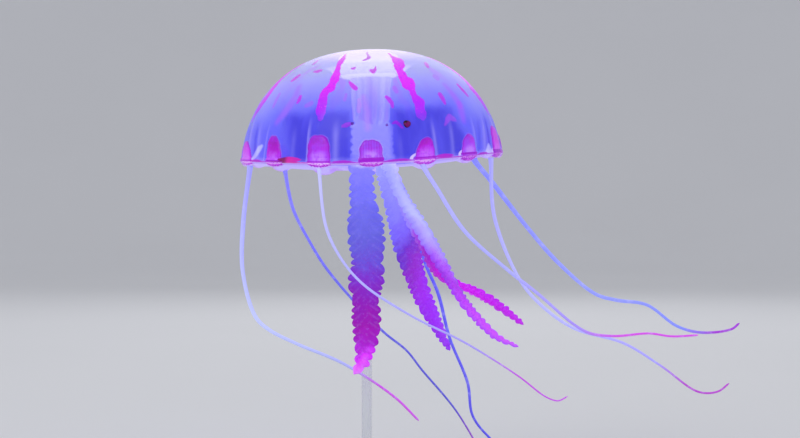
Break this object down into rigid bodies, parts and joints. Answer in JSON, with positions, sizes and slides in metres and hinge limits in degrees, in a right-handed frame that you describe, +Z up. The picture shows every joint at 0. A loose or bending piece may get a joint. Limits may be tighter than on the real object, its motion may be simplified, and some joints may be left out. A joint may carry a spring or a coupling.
{
  "type": "artificial jellyfish",
  "caption": "Soft moulded silicone jellyfish with a translucent bell, frilled arms and trailing tentacles, held up on a plain rod and round base.",
  "frame": {"origin": "centre of the stand's flat underside, on the rod's axis", "axes": "+Z up, -Y towards the front of the bell, +X the way that the arms and tentacles trail"},
  "size_m": [0.1981, 0.1018, 0.1767],
  "materials": {
    "bell": "translucent soft silicone, satin to glossy, pale crown and blue-violet wall with painted magenta streaks",
    "painted_lappet": "painted silicone pad, glossy, magenta over translucent lavender",
    "arm": "soft frilled silicone, satin, lavender fading to speckled magenta tips",
    "tentacle": "thin soft silicone strand, satin, pale blue with pink dipped tips",
    "stand": "polished acrylic, dark base and collar, clear rod"
  },
  "bodies": {
    "root": {"bell_crown": "bell", "bell_wall_1": "bell", "bell_wall_2": "bell", "bell_wall_3": "bell", "bell_wall_4": "bell", "lappet_01": "painted_lappet", "lappet_02": "painted_lappet", "lappet_03": "painted_lappet", "lappet_04": "painted_lappet", "lappet_05": "painted_lappet", "lappet_06": "painted_lappet", "lappet_07": "painted_lappet", "lappet_08": "painted_lappet", "lappet_09": "painted_lappet", "lappet_10": "painted_lappet", "lappet_11": "painted_lappet", "lappet_12": "painted_lappet", "lappet_13": "painted_lappet", "lappet_14": "painted_lappet", "lappet_15": "painted_lappet", "lappet_16": "painted_lappet", "hub": "bell", "arm_front_upper": "arm", "arm_front_lower": "arm", "arm_back_upper": "arm", "arm_back_lower": "arm", "arm_right_upper": "arm", "arm_right_lower": "arm", "arm_left_upper": "arm", "arm_left_lower": "arm", "tentacle_left_upper": "tentacle", "tentacle_left_middle": "tentacle", "tentacle_left_tip": "tentacle", "tentacle_back_left_upper": "tentacle", "tentacle_back_left_middle": "tentacle", "tentacle_back_left_tip": "tentacle", "tentacle_front_left_upper": "tentacle", "tentacle_front_left_middle": "tentacle", "tentacle_front_left_tip": "tentacle", "tentacle_front_right_upper": "tentacle", "tentacle_front_right_middle": "tentacle", "tentacle_front_right_tip": "tentacle", "tentacle_right_upper": "tentacle", "tentacle_right_middle": "tentacle", "tentacle_right_tip": "tentacle", "tentacle_back_right_upper": "tentacle", "tentacle_back_right_middle": "tentacle", "tentacle_back_right_tip": "tentacle", "tentacle_back_upper": "tentacle", "tentacle_back_middle": "tentacle", "tentacle_back_tip": "tentacle", "stand_base": "stand", "stand_collar": "stand", "stand_rod": "stand"}
  },
  "joints": []
}
